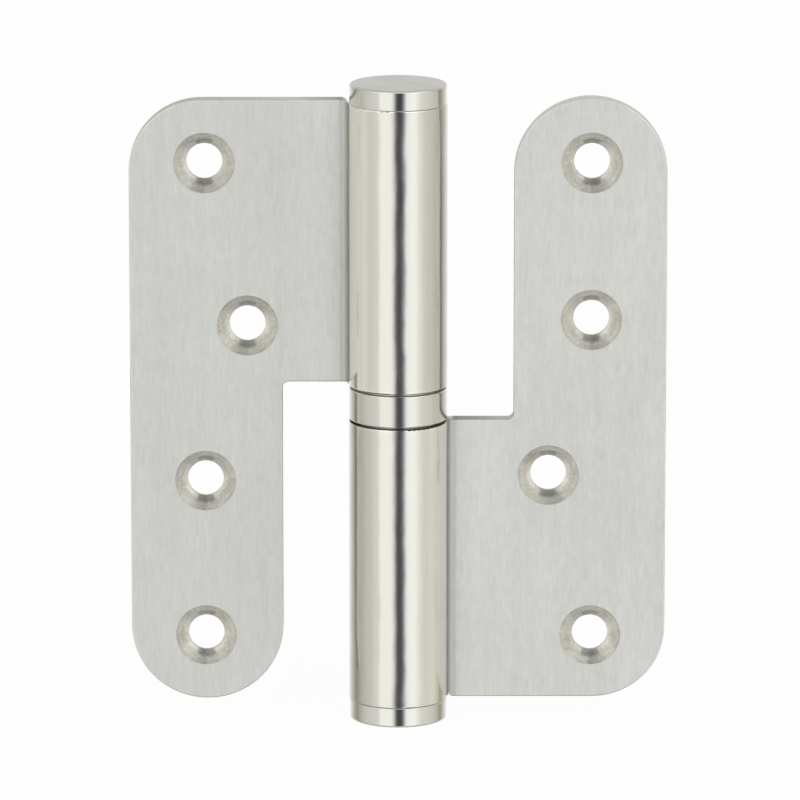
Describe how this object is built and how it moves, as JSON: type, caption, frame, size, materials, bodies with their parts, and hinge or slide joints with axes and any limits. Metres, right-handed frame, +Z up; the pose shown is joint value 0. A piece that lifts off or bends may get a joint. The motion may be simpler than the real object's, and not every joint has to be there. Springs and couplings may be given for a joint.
{
  "type": "lift-off hinge",
  "caption": "Lift-off door hinge in stainless sheet: two offset leaves with rounded arms, rolled knuckles, a fixed pin, a bearing ring and flush caps.",
  "frame": {"origin": "on the pin axis, half way up the leaves", "axes": "+Z up along the pin, the way the upper leaf lifts off; +X from the pin towards the lower leaf; -Y out of the countersunk faces of the open hinge"},
  "size_m": [0.0966, 0.0176, 0.1166],
  "materials": {
    "leaf_steel": "satin leaf, polished knuckle",
    "pin_steel": "ground",
    "ring_steel": "polished",
    "cap_steel": "turned"
  },
  "bodies": {
    "lower_half": {"lower_leaf": "leaf_steel", "hinge_pin": "pin_steel", "lower_cap": "cap_steel"},
    "ring": {"bearing_ring": "ring_steel"},
    "upper_half": {"upper_leaf": "leaf_steel", "upper_cap": "cap_steel"}
  },
  "joints": [
    {"name": "swing", "type": "hinge", "parent": "lower_half", "child": "ring", "pos_m": [0, 0, 0], "axis": [0, 0, 1], "range_deg": [-145, 180]},
    {"name": "lift_off", "type": "slide", "parent": "ring", "child": "upper_half", "axis": [0, 0, 1], "range_m": [0, 0.05]}
  ]
}
